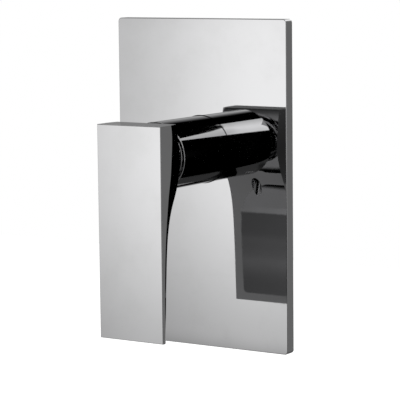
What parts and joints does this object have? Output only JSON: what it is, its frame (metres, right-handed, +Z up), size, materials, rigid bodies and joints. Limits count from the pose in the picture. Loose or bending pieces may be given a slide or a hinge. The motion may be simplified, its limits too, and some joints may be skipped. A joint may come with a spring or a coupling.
{
  "type": "concealed shower mixer",
  "caption": "Concealed single-lever shower mixer: rectangular wall cover plate, round sleeve, flat tilting and turning lever, ceramic cartridge, in-wall brass body with threaded ports.",
  "frame": {"origin": "on the valve axis in the plane of the finished wall, at the back of the cover plate", "axes": "+Y into the wall along the valve axis, so the lever faces -Y; +Z up; +X to the right of a user facing the lever"},
  "size_m": [0.12, 0.1207, 0.2],
  "materials": {
    "chrome": "polished",
    "chrome_sleeve": "polished",
    "chrome_cap": "polished",
    "chrome_lever": "polished",
    "foam": "closed-cell foam",
    "seal_rubber": "matt",
    "cast_brass": "as cast",
    "turned_brass": "turned",
    "dark_plastic": "moulded",
    "white_plastic": "moulded",
    "ceramic": "lapped",
    "steel": "machined"
  },
  "bodies": {
    "housing": {"cover_plate": "chrome", "plate_gasket": "foam", "plate_seal": "seal_rubber", "sleeve": "chrome_sleeve", "sleeve_seals": "seal_rubber", "valve_body": "cast_brass", "base_seals": "seal_rubber", "cartridge_base": "dark_plastic", "lower_disc": "ceramic", "cartridge_shell": "white_plastic", "cartridge_nut": "turned_brass", "cap_ring": "chrome_cap"},
    "rotor": {"cartridge_rotor": "dark_plastic", "rotor_seal": "seal_rubber", "stem_pin": "steel"},
    "handle": {"lever": "chrome_lever", "grub_screw": "steel", "stem": "steel"},
    "slider": {"upper_disc": "ceramic", "disc_carrier": "white_plastic"}
  },
  "joints": [
    {"name": "lever_turn", "type": "hinge", "parent": "housing", "child": "rotor", "pos_m": [0, 0, 0], "axis": [0, -1, 0], "range_deg": [-50, 50]},
    {"name": "lever_tilt", "type": "hinge", "parent": "rotor", "child": "handle", "pos_m": [0, -0.038, 0], "axis": [-1, 0, 0], "range_deg": [0, 22]},
    {"name": "disc_slide", "type": "slide", "parent": "rotor", "child": "slider", "axis": [0, 0, 1], "range_m": [-0.0037, 0]}
  ],
  "couplings": [
    {"joint": "disc_slide", "follows": "lever_tilt", "m_per_rad": -0.0095}
  ]
}
